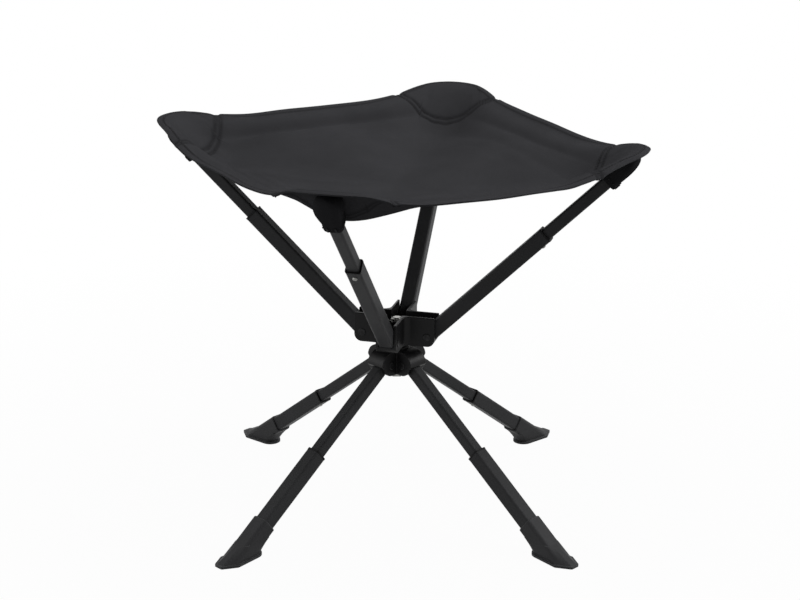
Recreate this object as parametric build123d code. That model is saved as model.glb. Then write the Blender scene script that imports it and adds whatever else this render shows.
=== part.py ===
"""Folding camping stool with a swivelling head, telescopic legs and arms, and a sling seat.

Origin on the floor under the swivel axis, +Z up. Millimetres and degrees.
A member, leg or arm, is drawn along +X from its pivot pin, with the pin along Y and its
upper face towards +Z, and is then tilted, carried out to its pivot and turned about the axis.
"""
import os
from math import atan2, cos, hypot, pi, radians, sin, sqrt, tan

from build123d import *

# How many members, and where the first leg and the first arm point
MEMBER_COUNT = 4
LEG_AZIMUTH = 45.0
ARM_AZIMUTH = -15.0

# Rounded-square tube: a narrow one slides in a wide one
WIDE_TUBE = 17.5
NARROW_TUBE = 13.8
TUBE_WALL = 1.0
TUBE_CORNER = 2.6

# Clearances
RUNNING_FIT = 0.05
SEAT_FIT = 0.05
SLIDE_CLEARANCE = 0.15
FORK_CLEARANCE = 0.4
STOP_GAP = 0.3
AXIAL_PLAY = 0.1

# Legs: slope below level, distances along the leg from its pivot
LEG_SLOPE = 36.6
LEG_FOLD = 47.4
LEG_PIVOT_RADIUS = 20.0
LEG_MOUTH = 138.0
LEG_COLLAR_FROM_MOUTH = 99.0
LEG_FLOOR_FROM_COLLAR = 53.5
LEG_TUBE_OVERLAP = 40.0
LEG_TUBE_ABOVE_FLOOR = 18.5

# Arms: slope above level, distances along the arm from its pivot
ARM_SLOPE = 44.3
ARM_PIVOT_RADIUS = 39.1
ARM_MOUTH = 187.5
ARM_EXTENSION = 120.5
ARM_TUBE_OVERLAP = 45.0

# Guide bush in a wide tube's mouth
BUSH_FLANGE = 2.0
BUSH_PROUD = 0.25
BUSH_SKIRT = 6.5

# Snap button: a domed button on a bent leaf spring
BUTTON_FROM_MOUTH = 11.0
BUTTON_DIAMETER = 6.0
BUTTON_PROUD = 1.8
BUTTON_ROUND = 1.4
BUTTON_HOLE_CLEARANCE = 0.15
SPRING_THICKNESS = 0.8
SPRING_WIDTH = 7.6
SPRING_LENGTH = 26.0
SPRING_TAIL = 6.0

# Pivot rivets
PIN_DIAMETER = 6.0
PIN_HEAD_DIAMETER = 9.0
PIN_HEAD_HEIGHT = 0.9

# Lower hub
LOWER_CHEEK = 5.0
LOWER_CHEEK_RADIUS = 12.5
HOOD_RADIUS = 16.0
HOOD_REACH = 12.0
LOWER_CORE_RADIUS = 12.2
LOWER_TOP_RADIUS = 15.0
LOWER_TOP_THICKNESS = 4.0
LOWER_TOP_RISE = 0.3

# Upper hub
UPPER_CHEEK = 3.0
UPPER_FORK_BEYOND_PIN = 9.2
UPPER_FORK_BELOW_PIN = 11.5
UPPER_FORK_ABOVE_PIN = 23.4
UPPER_FORK_ROUND = 9.0
UPPER_INNER_FILLET = 8.0
UPPER_FLOOR = 2.3
UPPER_EDGE = 0.9
BOSS_RADIUS = 13.0
BOSS_DROP = 4.7
BOSS_HEIGHT = 21.3

# Swivel: bolt, bearing sleeve, washers and lock nut
BOLT_DIAMETER = 10.0
BOLT_HEAD_ACROSS_FLATS = 16.0
BOLT_HEAD_HEIGHT = 6.4
BOLT_END_BEYOND_NUT = 1.0
NUT_ACROSS_FLATS = 17.0
NUT_HEIGHT = 10.0
NUT_COLLAR_HEIGHT = 2.4
NUT_COLLAR_DIAMETER = 14.4
TOP_WASHER_DIAMETER = 17.6
TOP_WASHER_THICKNESS = 2.0
THRUST_WASHER_DIAMETER = 28.0
THRUST_WASHER_THICKNESS = 2.0
SLEEVE_WALL = 2.0

# End cap on an arm's tip
CAP_WALL = 0.8
CAP_LENGTH = 14.0
CAP_END = 3.5
CAP_EDGE = 2.2

# Moulded foot
FOOT_WALL = 2.0
FOOT_CORNER = 4.2
FOOT_RIM = 0.8
SOLE_THICKNESS = 2.6
SOLE_LIP = 2.2
SOLE_HEEL_BACK = 34.0
SOLE_HEEL_RADIUS = 12.5
SOLE_BALL_AHEAD = 8.0
SOLE_BALL_HALF_WIDTH = 15.5
SOLE_BALL_RADIUS = 5.0
SOLE_TOE_AHEAD = 26.0
SOLE_TOE_HALF_WIDTH = 7.0
SOLE_TOE_RADIUS = 3.0
ANKLE_HEIGHT = 18.0

# Seat: a square panel with rounded corners, turned so that its corners meet the arms
SEAT_THICKNESS = 1.6
SEAT_CORNER_RADIUS = 50.0
LOBE_BEYOND_CAP = 34.0
SEAT_DEPTH = 64.0
HEM_BELOW_TIP = 26.0
LOBE_INNER = 86.0
LOBE_INNER_BELOW_TIP = 49.0
LOBE_INNER_SLOPE = 0.2
LOBE_TIP_SLOPE = 0.14
EDGE_FLATNESS = 0.7
EDGE_POWER = 7
SEAT_OVERRUN = 1.15
SEAT_SURFACE_FIT = 0.05
SEAT_SURFACE_DEGREE = 3
SEAT_GRID = 25

# Pocket under each corner of the seat
POCKET_LENGTH = 29.0
POCKET_WALL = 1.0
POCKET_LOOSENESS = 0.3
POCKET_RIM_WIDTH = 20.6
POCKET_END_WIDTH = 34.0
POCKET_CORNER = 3.2

# Levels and lengths that follow from the sizes above
LEG_COLLAR = LEG_MOUTH + LEG_COLLAR_FROM_MOUTH
LEG_REACH = LEG_COLLAR + LEG_FLOOR_FROM_COLLAR
LEG_PIVOT_Z = LEG_REACH * sin(radians(LEG_SLOPE))
LEG_FLOOR_RADIUS = LEG_PIVOT_RADIUS + LEG_REACH * cos(radians(LEG_SLOPE))
LOWER_TOP_Z = LEG_PIVOT_Z + HOOD_RADIUS + LOWER_TOP_RISE
LOWER_BOTTOM_Z = LEG_PIVOT_Z - LOWER_CHEEK_RADIUS
BOSS_BOTTOM_Z = LOWER_TOP_Z + THRUST_WASHER_THICKNESS + AXIAL_PLAY
UPPER_BOTTOM_Z = BOSS_BOTTOM_Z + BOSS_DROP
ARM_PIVOT_Z = UPPER_BOTTOM_Z + UPPER_FORK_BELOW_PIN
UPPER_TOP_Z = ARM_PIVOT_Z + UPPER_FORK_ABOVE_PIN
BOSS_TOP_Z = BOSS_BOTTOM_Z + BOSS_HEIGHT
TOP_WASHER_Z = BOSS_TOP_Z + AXIAL_PLAY
NUT_Z = TOP_WASHER_Z + TOP_WASHER_THICKNESS
ARM_FOLD = 90.0 - ARM_SLOPE
ARM_TUBE_END = ARM_MOUTH + ARM_EXTENSION
ARM_CAP_END = ARM_TUBE_END + SEAT_FIT + CAP_END
ARM_TIP = ARM_CAP_END + LOBE_BEYOND_CAP
SEAT_TIP_RADIUS = ARM_PIVOT_RADIUS + ARM_TIP * cos(radians(ARM_SLOPE))
SEAT_TIP_Z = ARM_PIVOT_Z + ARM_TIP * sin(radians(ARM_SLOPE))
SEAT_HALF = (SEAT_TIP_RADIUS + (sqrt(2) - 1) * SEAT_CORNER_RADIUS) / sqrt(2)
LEG_ANGLES = [LEG_AZIMUTH + k * 360.0 / MEMBER_COUNT for k in range(MEMBER_COUNT)]
ARM_ANGLES = [ARM_AZIMUTH + k * 360.0 / MEMBER_COUNT for k in range(MEMBER_COUNT)]


def leg_place(azimuth):
    """Carry a leg from its own frame to its place on the stool."""
    return Rot(0, 0, azimuth) * Pos(LEG_PIVOT_RADIUS, 0, LEG_PIVOT_Z) * Rot(0, LEG_SLOPE, 0)


def arm_place(azimuth):
    """Carry an arm from its own frame to its place on the stool."""
    return Rot(0, 0, azimuth) * Pos(ARM_PIVOT_RADIUS, 0, ARM_PIVOT_Z) * Rot(0, -ARM_SLOPE, 0)


def bar(width, corner, start, end, height=None):
    """Rounded-square bar along X."""
    section = Plane.YZ.offset(start) * RectangleRounded(width, height or width, corner)
    return extrude(section, end - start)


def tube(width, start, end):
    """Rounded-square tube along X, open at both ends."""
    bore = bar(width - 2 * TUBE_WALL, TUBE_CORNER - TUBE_WALL, start, end)
    return bar(width, TUBE_CORNER, start, end) - bore


def cross_cylinder(radius, length):
    """Cylinder along Y through the member's pivot."""
    return Rot(90, 0, 0) * Cylinder(radius, length)


def pivot_tube(width, end):
    """Tube whose pivot end is rounded about the pin and drilled for it."""
    blank = tube(width, -width / 2, end)
    keep = cross_cylinder(width / 2, width) + bar(width, TUBE_CORNER, 0, end)
    hole = cross_cylinder(PIN_DIAMETER / 2 + RUNNING_FIT, 2 * width)
    return blank & keep - hole


def button_hole(width, station):
    """Drill for the snap button through a tube's lower wall."""
    radius = BUTTON_DIAMETER / 2 + BUTTON_HOLE_CLEARANCE
    return Pos(station, 0, -width / 2) * Cylinder(radius, width / 2)


def snap_button(station, towards):
    """Spring clip in a narrow tube: button through the lower wall, leaf bent to the upper one."""
    floor = -NARROW_TUBE / 2 + TUBE_WALL + RUNNING_FIT
    roof = -floor
    top = -WIDE_TUBE / 2 - BUTTON_PROUD
    stem = Pos(station, 0, (floor + top) / 2) * Cylinder(BUTTON_DIAMETER / 2, floor - top)
    dome = fillet(stem.edges().sort_by(Axis.Z)[0], BUTTON_ROUND)
    lower_mid = station + towards * (SPRING_LENGTH - SPRING_TAIL) / 2
    lower_leaf = Box(SPRING_LENGTH + SPRING_TAIL, SPRING_WIDTH, SPRING_THICKNESS)
    lower = Pos(lower_mid, 0, floor + SPRING_THICKNESS / 2) * lower_leaf
    bend_x = station + towards * SPRING_LENGTH
    bend = Pos(bend_x, 0, floor + SPRING_THICKNESS) * cross_cylinder(SPRING_THICKNESS, SPRING_WIDTH)
    rise = roof - floor - 3 * SPRING_THICKNESS
    upper_length = hypot(SPRING_LENGTH, rise)
    lean = atan2(rise, SPRING_LENGTH) * 180 / pi
    upper_leaf = Pos(-upper_length / 2, 0, 0) * Box(upper_length, SPRING_WIDTH, SPRING_THICKNESS)
    turn = 0 if towards > 0 else 180
    spot = Pos(bend_x, 0, floor + 1.5 * SPRING_THICKNESS)
    upper = spot * Rot(0, 0, turn) * Rot(0, lean, 0) * upper_leaf
    return dome + lower + bend + upper


def guide_bush(mouth, outwards):
    """Plastic bush: a flange on the wide tube's mouth and a skirt between the tubes."""
    opening = NARROW_TUBE + 2 * SLIDE_CLEARANCE
    skirt_width = WIDE_TUBE - 2 * TUBE_WALL - 2 * SEAT_FIT
    flange_ends = sorted((mouth, mouth + outwards * BUSH_FLANGE))
    skirt_ends = sorted((mouth, mouth - outwards * BUSH_SKIRT))
    whole_ends = sorted((mouth + outwards * BUSH_FLANGE, mouth - outwards * BUSH_SKIRT))
    flange = bar(WIDE_TUBE + 2 * BUSH_PROUD, TUBE_CORNER + BUSH_PROUD, *flange_ends)
    skirt = bar(skirt_width, TUBE_CORNER - TUBE_WALL, *skirt_ends)
    return flange + skirt - bar(opening, TUBE_CORNER, *whole_ends)


def pivot_pins(angles, place, half_width):
    """Rivets through the forks, with a low head on each outer face."""
    head = Pos(0, 0, half_width + PIN_HEAD_HEIGHT / 2) * Cylinder(PIN_HEAD_DIAMETER / 2, PIN_HEAD_HEIGHT)
    head = chamfer(head.edges().sort_by(Axis.Z)[-1], PIN_HEAD_HEIGHT / 2)
    shank = Cylinder(PIN_DIAMETER / 2, 2 * half_width)
    rivet = Rot(90, 0, 0) * (shank + head + mirror(head, Plane.XY))
    return Compound(children=[place(angle) * rivet for angle in angles])


def member_slot(width, rest, folded):
    """Side view of the room a member sweeps about its pin, between two directions."""
    half = width / 2 + STOP_GAP
    far = 3 * width
    lane = Pos(far / 2, 0) * Rectangle(far, 2 * half)
    corners = [(0, 0)] + [(far * cos(radians(a)), far * sin(radians(a))) for a in (rest, folded)]
    wedge = make_face(Polyline(*corners, close=True))
    return Circle(half) + Rot(0, 0, rest) * lane + Rot(0, 0, folded) * lane + wedge


def fork_prism(side_view, pivot_radius, pivot_z, half_width):
    """Extrude a side view, drawn about the pin, to both sides of a fork's middle plane."""
    placed = Plane.XZ * side_view
    return Pos(pivot_radius, 0, pivot_z) * extrude(placed, half_width, both=True)


def make_lower_hub():
    """Four forks round a bored core, each with a hood that stops its leg."""
    inner_half = NARROW_TUBE / 2 + FORK_CLEARANCE
    outer_half = inner_half + LOWER_CHEEK
    stop = NARROW_TUBE / 2 + STOP_GAP
    hood_side = 2 * HOOD_RADIUS
    above_leg = Pos(HOOD_REACH - HOOD_RADIUS, stop + HOOD_RADIUS) * Rectangle(hood_side, hood_side)
    hood = Circle(HOOD_RADIUS) & Rot(0, 0, -LEG_SLOPE) * above_leg
    web_height = LOWER_CHEEK_RADIUS + HOOD_RADIUS
    web_mid = (HOOD_RADIUS - LOWER_CHEEK_RADIUS) / 2
    web = Pos(-LEG_PIVOT_RADIUS / 2, web_mid) * Rectangle(LEG_PIVOT_RADIUS, web_height)
    side_view = Circle(LOWER_CHEEK_RADIUS) + hood + web
    fork = fork_prism(side_view, LEG_PIVOT_RADIUS, LEG_PIVOT_Z, outer_half)
    slot_view = member_slot(NARROW_TUBE, -LEG_SLOPE, -LEG_SLOPE - LEG_FOLD)
    slot = fork_prism(slot_view, LEG_PIVOT_RADIUS, LEG_PIVOT_Z, inner_half)
    hole = Pos(LEG_PIVOT_RADIUS, 0, LEG_PIVOT_Z) * cross_cylinder(PIN_DIAMETER / 2 + SEAT_FIT, 3 * outer_half)
    core_height = LOWER_TOP_Z - LOWER_BOTTOM_Z
    hub = Pos(0, 0, LOWER_BOTTOM_Z + core_height / 2) * Cylinder(LOWER_CORE_RADIUS, core_height)
    hub += Pos(0, 0, LOWER_TOP_Z - LOWER_TOP_THICKNESS / 2) * Cylinder(LOWER_TOP_RADIUS, LOWER_TOP_THICKNESS)
    for angle in LEG_ANGLES:
        hub += Rot(0, 0, angle) * fork
    for angle in LEG_ANGLES:
        hub -= Rot(0, 0, angle) * (slot + hole)
    hub -= Pos(0, 0, LEG_PIVOT_Z) * Cylinder(BOLT_DIAMETER / 2 + SEAT_FIT, 4 * core_height)
    return hub


def make_upper_hub():
    """Cross of four open channels with a bored boss, rounded under each pin."""
    inner_half = WIDE_TUBE / 2 + FORK_CLEARANCE
    outer_half = inner_half + UPPER_CHEEK
    reach = ARM_PIVOT_RADIUS + UPPER_FORK_BEYOND_PIN
    height = UPPER_TOP_Z - UPPER_BOTTOM_Z
    limb = Rectangle(2 * reach, 2 * outer_half)
    plan = limb + Rot(0, 0, 90) * limb
    inner_corners = plan.vertices().sort_by(lambda v: hypot(v.X, v.Y))[:MEMBER_COUNT]
    plan = fillet(inner_corners, UPPER_INNER_FILLET)
    block = Pos(0, 0, UPPER_BOTTOM_Z) * extrude(plan, height)
    ends = [e for e in block.edges() if hypot(e.center().X, e.center().Y) > reach - SEAT_FIT]
    lower_ends = [e for e in ends if e.center().Z < UPPER_BOTTOM_Z + SEAT_FIT]
    block = fillet(lower_ends, UPPER_FORK_ROUND)
    block = chamfer(block.faces().sort_by(Axis.Z)[-1].edges(), UPPER_EDGE)
    slot_view = member_slot(WIDE_TUBE, ARM_SLOPE, ARM_SLOPE + ARM_FOLD)
    floor_top = UPPER_FLOOR - UPPER_FORK_BELOW_PIN
    room_height = UPPER_FORK_ABOVE_PIN - floor_top
    room = Pos(-ARM_PIVOT_RADIUS / 2, floor_top + room_height / 2) * Rectangle(ARM_PIVOT_RADIUS, room_height)
    slot = fork_prism(slot_view + room, ARM_PIVOT_RADIUS, ARM_PIVOT_Z, inner_half)
    hole = Pos(ARM_PIVOT_RADIUS, 0, ARM_PIVOT_Z) * cross_cylinder(PIN_DIAMETER / 2 + SEAT_FIT, 3 * outer_half)
    for angle in range(0, 360, 360 // MEMBER_COUNT):
        block -= Rot(0, 0, angle) * (slot + hole)
    boss = Pos(0, 0, BOSS_BOTTOM_Z + BOSS_HEIGHT / 2) * Cylinder(BOSS_RADIUS, BOSS_HEIGHT)
    bore_radius = BOLT_DIAMETER / 2 + RUNNING_FIT + SLEEVE_WALL + SEAT_FIT
    bore = Pos(0, 0, ARM_PIVOT_Z) * Cylinder(bore_radius, 4 * BOSS_HEIGHT)
    return Rot(0, 0, ARM_AZIMUTH) * (block + boss - bore)


def hexagon(across_flats, height):
    """Hexagon prism standing on the plane z = 0."""
    return extrude(RegularPolygon(across_flats / 2, 6, major_radius=False), height)


def make_swivel_bolt():
    """Hexagon bolt: head under the lower hub, shank up through both."""
    head = Pos(0, 0, LOWER_BOTTOM_Z - BOLT_HEAD_HEIGHT) * hexagon(BOLT_HEAD_ACROSS_FLATS, BOLT_HEAD_HEIGHT)
    length = NUT_Z + NUT_HEIGHT + BOLT_END_BEYOND_NUT - LOWER_BOTTOM_Z
    shank = Cylinder(BOLT_DIAMETER / 2, length, align=(Align.CENTER, Align.CENTER, Align.MIN))
    shank = chamfer(shank.edges().sort_by(Axis.Z)[-1], BOLT_END_BEYOND_NUT)
    return head + Pos(0, 0, LOWER_BOTTOM_Z) * shank


def washer(diameter, thickness, hole):
    """Flat ring standing on the plane z = 0."""
    return extrude(Circle(diameter / 2) - Circle(hole / 2), thickness)


def make_lock_nut():
    """Hexagon nut with the round collar that holds its nylon ring."""
    body_height = NUT_HEIGHT - NUT_COLLAR_HEIGHT
    body = hexagon(NUT_ACROSS_FLATS, body_height)
    collar = Pos(0, 0, body_height) * extrude(Circle(NUT_COLLAR_DIAMETER / 2), NUT_COLLAR_HEIGHT)
    collar = fillet(collar.edges().sort_by(Axis.Z)[-1], NUT_COLLAR_HEIGHT / 2)
    bore = Cylinder(BOLT_DIAMETER / 2 + SEAT_FIT, 4 * NUT_HEIGHT)
    return Pos(0, 0, NUT_Z) * (body + collar - bore)


def sole_outline(inset):
    """Plan of a foot's sole about the point where the leg's axis meets the floor."""
    heel = Pos(SOLE_HEEL_RADIUS - SOLE_HEEL_BACK, 0) * Circle(SOLE_HEEL_RADIUS - inset)
    circles = [heel]
    for side in (-1, 1):
        ball_y = side * (SOLE_BALL_HALF_WIDTH - SOLE_BALL_RADIUS)
        circles.append(Pos(SOLE_BALL_AHEAD, ball_y) * Circle(SOLE_BALL_RADIUS - inset))
        toe_y = side * (SOLE_TOE_HALF_WIDTH - SOLE_TOE_RADIUS)
        circles.append(Pos(SOLE_TOE_AHEAD - SOLE_TOE_RADIUS, toe_y) * Circle(SOLE_TOE_RADIUS - inset))
    return make_hull([edge for circle in circles for edge in circle.edges()])


def make_foot(azimuth):
    """Moulded boot: a square sleeve on the tube that spreads to a flat sole with a lip."""
    width = WIDE_TUBE + 2 * SEAT_FIT + 2 * FOOT_WALL
    tilt = Pos(LEG_PIVOT_RADIUS, 0, LEG_PIVOT_Z) * Rot(0, LEG_SLOPE, 0)
    sleeve = bar(width, FOOT_CORNER, LEG_COLLAR, LEG_REACH + width)
    sleeve = chamfer(sleeve.faces().sort_by(Axis.X)[0].edges(), FOOT_RIM)
    above_floor = Pos(LEG_FLOOR_RADIUS, 0, LEG_REACH) * Box(4 * LEG_REACH, 4 * width, 2 * LEG_REACH)
    at_floor = Pos(LEG_FLOOR_RADIUS, 0, 0)
    sole = at_floor * extrude(sole_outline(0), SOLE_THICKNESS)
    ankle_back = ANKLE_HEIGHT / tan(radians(LEG_SLOPE))
    ankle_length = width / sin(radians(LEG_SLOPE))
    ankle = Pos(-ankle_back, 0, ANKLE_HEIGHT) * RectangleRounded(ankle_length, width, FOOT_CORNER)
    spread = Pos(0, 0, SOLE_THICKNESS) * sole_outline(SOLE_LIP)
    flare = at_floor * loft([spread, ankle])
    socket = bar(WIDE_TUBE + 2 * SEAT_FIT, TUBE_CORNER, LEG_COLLAR - width, LEG_REACH - LEG_TUBE_ABOVE_FLOOR)
    boot = (tilt * sleeve & above_floor) + sole + flare - tilt * socket
    return Rot(0, 0, azimuth) * boot


def make_end_cap():
    """Blunt plastic cap over a narrow tube's tip."""
    bore = NARROW_TUBE + 2 * SEAT_FIT
    width = bore + 2 * CAP_WALL
    shell = bar(width, TUBE_CORNER + CAP_WALL, ARM_CAP_END - CAP_LENGTH, ARM_CAP_END)
    shell = chamfer(shell.faces().sort_by(Axis.X)[-1].edges(), CAP_EDGE)
    socket = bar(bore, TUBE_CORNER, ARM_CAP_END - 2 * CAP_LENGTH, ARM_TUBE_END + SEAT_FIT)
    return shell - socket


def seat_reach(angle):
    """Plan distance from the axis to the seat's edge, at an angle from the nearest corner."""
    off_corner = abs((angle + pi / 4) % (pi / 2) - pi / 4)
    inner = SEAT_HALF - SEAT_CORNER_RADIUS
    round_ends = atan2(SEAT_HALF, inner) - pi / 4
    if off_corner > round_ends:
        return SEAT_HALF / cos(pi / 4 - off_corner)
    centre = inner * sqrt(2)
    return centre * cos(off_corner) + sqrt(SEAT_CORNER_RADIUS ** 2 - (centre * sin(off_corner)) ** 2)


def lobe_drop(along):
    """Depth below the tip on a corner's centre line, at a share of the way from axis to tip."""
    inner = 1 - LOBE_INNER / SEAT_TIP_RADIUS
    if along < inner:
        return SEAT_DEPTH - (SEAT_DEPTH - LOBE_INNER_BELOW_TIP) * (along / inner) ** 2
    s = (along - inner) / (1 - inner)
    start = LOBE_INNER_BELOW_TIP * (2 * s ** 3 - 3 * s ** 2 + 1)
    slopes = LOBE_INNER_SLOPE * (s ** 3 - 2 * s ** 2 + s) + LOBE_TIP_SLOPE * (s ** 3 - s ** 2)
    return start - LOBE_INNER * slopes


def edge_drop(along):
    """Depth below the tip on the line from the axis to the middle of an edge."""
    rise = EDGE_FLATNESS * along ** 2 + (1 - EDGE_FLATNESS) * along ** EDGE_POWER
    return SEAT_DEPTH - (SEAT_DEPTH - HEM_BELOW_TIP) * rise


def seat_height(x, y):
    """Height of the seat's top, in the frame whose X axis runs to a corner."""
    angle = atan2(y, x)
    along = min(hypot(x, y) / seat_reach(angle), SEAT_OVERRUN)
    corner_share = ((1 + cos(4 * angle)) / 2) ** 2
    drop = corner_share * lobe_drop(along) + (1 - corner_share) * edge_drop(along)
    return SEAT_TIP_Z - drop


def make_seat_panel():
    """Sling seat: a dished sheet trimmed to a rounded square, its corners turned up."""
    span = SEAT_HALF + SEAT_CORNER_RADIUS / 2
    steps = [span * (2 * i / (SEAT_GRID - 1) - 1) for i in range(SEAT_GRID)]
    turn = pi / 4
    rows = []
    for q in steps:
        row = []
        for p in steps:
            x = p * cos(turn) + q * sin(turn)
            y = q * cos(turn) - p * sin(turn)
            row.append((p, q, seat_height(x, y)))
        rows.append(row)
    degree = SEAT_SURFACE_DEGREE
    surface = Face.make_surface_from_array_of_points(rows, SEAT_SURFACE_FIT, min_deg=degree, max_deg=degree)
    sheet = extrude(surface, SEAT_THICKNESS, dir=(0, 0, -1))
    plan = RectangleRounded(2 * SEAT_HALF, 2 * SEAT_HALF, SEAT_CORNER_RADIUS)
    trim = Pos(0, 0, SEAT_TIP_Z - 2 * SEAT_DEPTH) * extrude(plan, 4 * SEAT_DEPTH)
    return Rot(0, 0, ARM_AZIMUTH - 45) * (sheet & trim)


def pocket_section(station, width, height, corner):
    """Cross-section of a pocket at a station along the arm, its corners cut off."""
    section = Rectangle(width, height)
    return Plane.YZ.offset(station) * chamfer(section.vertices(), corner)


def make_pocket():
    """Sewn pocket under a corner: a loose funnel from its rim to the capped tip."""
    cap_width = NARROW_TUBE + 2 * SEAT_FIT + 2 * CAP_WALL
    end_height = cap_width + 2 * POCKET_LOOSENESS + 2 * POCKET_WALL
    rim_x = ARM_CAP_END - POCKET_LENGTH
    end_x = ARM_CAP_END + POCKET_LOOSENESS
    rim = pocket_section(rim_x, POCKET_RIM_WIDTH, POCKET_RIM_WIDTH, POCKET_CORNER)
    end = pocket_section(end_x, POCKET_END_WIDTH, end_height, POCKET_CORNER)
    inner_rim = POCKET_RIM_WIDTH - 2 * POCKET_WALL
    inner_width = POCKET_END_WIDTH - 2 * POCKET_WALL
    inner_corner = POCKET_CORNER - POCKET_WALL
    mouth = pocket_section(rim_x, inner_rim, inner_rim, inner_corner)
    back = pocket_section(end_x, inner_width, end_height - 2 * POCKET_WALL, inner_corner)
    closing = extrude(end, POCKET_WALL)
    return loft([rim, end], ruled=True) - loft([mouth, back], ruled=True) + closing


def build():
    """Make every piece, in place, by name."""
    pieces = {}
    lower_half = NARROW_TUBE / 2 + FORK_CLEARANCE + LOWER_CHEEK
    upper_half = WIDE_TUBE / 2 + FORK_CLEARANCE + UPPER_CHEEK
    pieces["lower_hub"] = make_lower_hub()
    pieces["leg_pivot_pins"] = pivot_pins(LEG_ANGLES, leg_place, lower_half)
    pieces["swivel_bolt"] = make_swivel_bolt()
    hole = BOLT_DIAMETER + 2 * SEAT_FIT
    thrust = washer(THRUST_WASHER_DIAMETER, THRUST_WASHER_THICKNESS, hole)
    pieces["thrust_washer"] = Pos(0, 0, LOWER_TOP_Z) * thrust
    pieces["top_washer"] = Pos(0, 0, TOP_WASHER_Z) * washer(TOP_WASHER_DIAMETER, TOP_WASHER_THICKNESS, hole)
    pieces["lock_nut"] = make_lock_nut()
    pieces["upper_hub"] = make_upper_hub()
    sleeve_bore = BOLT_DIAMETER + 2 * RUNNING_FIT
    sleeve = washer(sleeve_bore + 2 * SLEEVE_WALL, BOSS_HEIGHT, sleeve_bore)
    pieces["swivel_bush"] = Pos(0, 0, BOSS_BOTTOM_Z) * sleeve
    pieces["arm_pivot_pins"] = pivot_pins(ARM_ANGLES, arm_place, upper_half)

    leg_button = LEG_MOUTH + BUTTON_FROM_MOUTH
    leg_upper = pivot_tube(NARROW_TUBE, LEG_MOUTH + LEG_TUBE_OVERLAP) - button_hole(NARROW_TUBE, leg_button)
    leg_lower = tube(WIDE_TUBE, LEG_MOUTH, LEG_REACH - LEG_TUBE_ABOVE_FLOOR)
    leg_lower -= button_hole(WIDE_TUBE, leg_button)
    leg_bush = guide_bush(LEG_MOUTH, -1)
    leg_clip = snap_button(leg_button, 1)
    for k, angle in enumerate(LEG_ANGLES, 1):
        place = leg_place(angle)
        pieces[f"leg_{k}_upper_tube"] = place * leg_upper
        pieces[f"leg_{k}_lower_tube"] = place * leg_lower
        pieces[f"leg_{k}_guide_bush"] = place * leg_bush
        pieces[f"leg_{k}_snap_button"] = place * leg_clip
        pieces[f"leg_{k}_foot"] = make_foot(angle)

    arm_button = ARM_MOUTH - BUTTON_FROM_MOUTH
    arm_lower = pivot_tube(WIDE_TUBE, ARM_MOUTH) - button_hole(WIDE_TUBE, arm_button)
    arm_upper = tube(NARROW_TUBE, ARM_MOUTH - ARM_TUBE_OVERLAP, ARM_TUBE_END)
    arm_upper -= button_hole(NARROW_TUBE, arm_button)
    arm_bush = guide_bush(ARM_MOUTH, 1)
    arm_clip = snap_button(arm_button, -1)
    cap = make_end_cap()
    pocket = make_pocket()
    for k, angle in enumerate(ARM_ANGLES, 1):
        place = arm_place(angle)
        pieces[f"arm_{k}_lower_tube"] = place * arm_lower
        pieces[f"arm_{k}_upper_tube"] = place * arm_upper
        pieces[f"arm_{k}_guide_bush"] = place * arm_bush
        pieces[f"arm_{k}_snap_button"] = place * arm_clip
        pieces[f"arm_{k}_end_cap"] = place * cap
        pieces[f"seat_pocket_{k}"] = place * pocket
    pieces["seat_panel"] = make_seat_panel()
    return pieces


os.makedirs("parts", exist_ok=True)
for name, shape in build().items():
    export_step(shape, f"parts/{name}.step")
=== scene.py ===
from math import atan2, cos, pi, radians, sin, sqrt

import bmesh
import bpy
import numpy as np
from mathutils import Matrix, Vector


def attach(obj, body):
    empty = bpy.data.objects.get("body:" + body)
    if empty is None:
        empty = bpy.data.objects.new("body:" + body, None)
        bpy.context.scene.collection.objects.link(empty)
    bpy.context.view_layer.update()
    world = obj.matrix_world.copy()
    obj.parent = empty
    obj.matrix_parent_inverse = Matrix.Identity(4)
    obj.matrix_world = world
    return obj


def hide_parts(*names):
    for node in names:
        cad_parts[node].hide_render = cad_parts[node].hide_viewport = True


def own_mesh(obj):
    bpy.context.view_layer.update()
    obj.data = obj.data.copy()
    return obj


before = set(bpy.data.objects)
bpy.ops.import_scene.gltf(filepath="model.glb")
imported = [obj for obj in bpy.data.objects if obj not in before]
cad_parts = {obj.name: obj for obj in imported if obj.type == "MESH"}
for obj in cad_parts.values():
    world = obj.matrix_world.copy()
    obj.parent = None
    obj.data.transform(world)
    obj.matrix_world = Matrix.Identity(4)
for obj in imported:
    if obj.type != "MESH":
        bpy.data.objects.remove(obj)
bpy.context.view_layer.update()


# Lower hub: one moulding of black glass-filled nylon with four forks round a bored core.
# Each fork carries a leg between two cheeks, under a hood that stops the leg when it is spread.
# The mould leaves a fine satin grain, and its edges carry a painted highlight, paler than the faces.
def shader(name):
    """New node material: its links, its nodes and its surface shader."""
    material = bpy.data.materials.new(name)
    material.use_nodes = True
    nodes = material.node_tree.nodes
    return material, material.node_tree.links, nodes, nodes["Principled BSDF"]


def noise(nodes, links, place, scale, detail=3.0):
    """Noise texture read at a place, its scale in cells to the metre."""
    texture = nodes.new("ShaderNodeTexNoise")
    texture.inputs["Scale"].default_value = scale
    texture.inputs["Detail"].default_value = detail
    links.new(place, texture.inputs["Vector"])
    return texture.outputs["Fac"]


def ramp(nodes, links, source, low, high, first, last):
    """Colours from first to last as the source goes from low to high."""
    node = nodes.new("ShaderNodeValToRGB")
    node.color_ramp.elements[0].position = low
    node.color_ramp.elements[1].position = high
    node.color_ramp.elements[0].color = (*first, 1.0)
    node.color_ramp.elements[1].color = (*last, 1.0)
    links.new(source, node.inputs["Fac"])
    return node.outputs["Color"]


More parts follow.
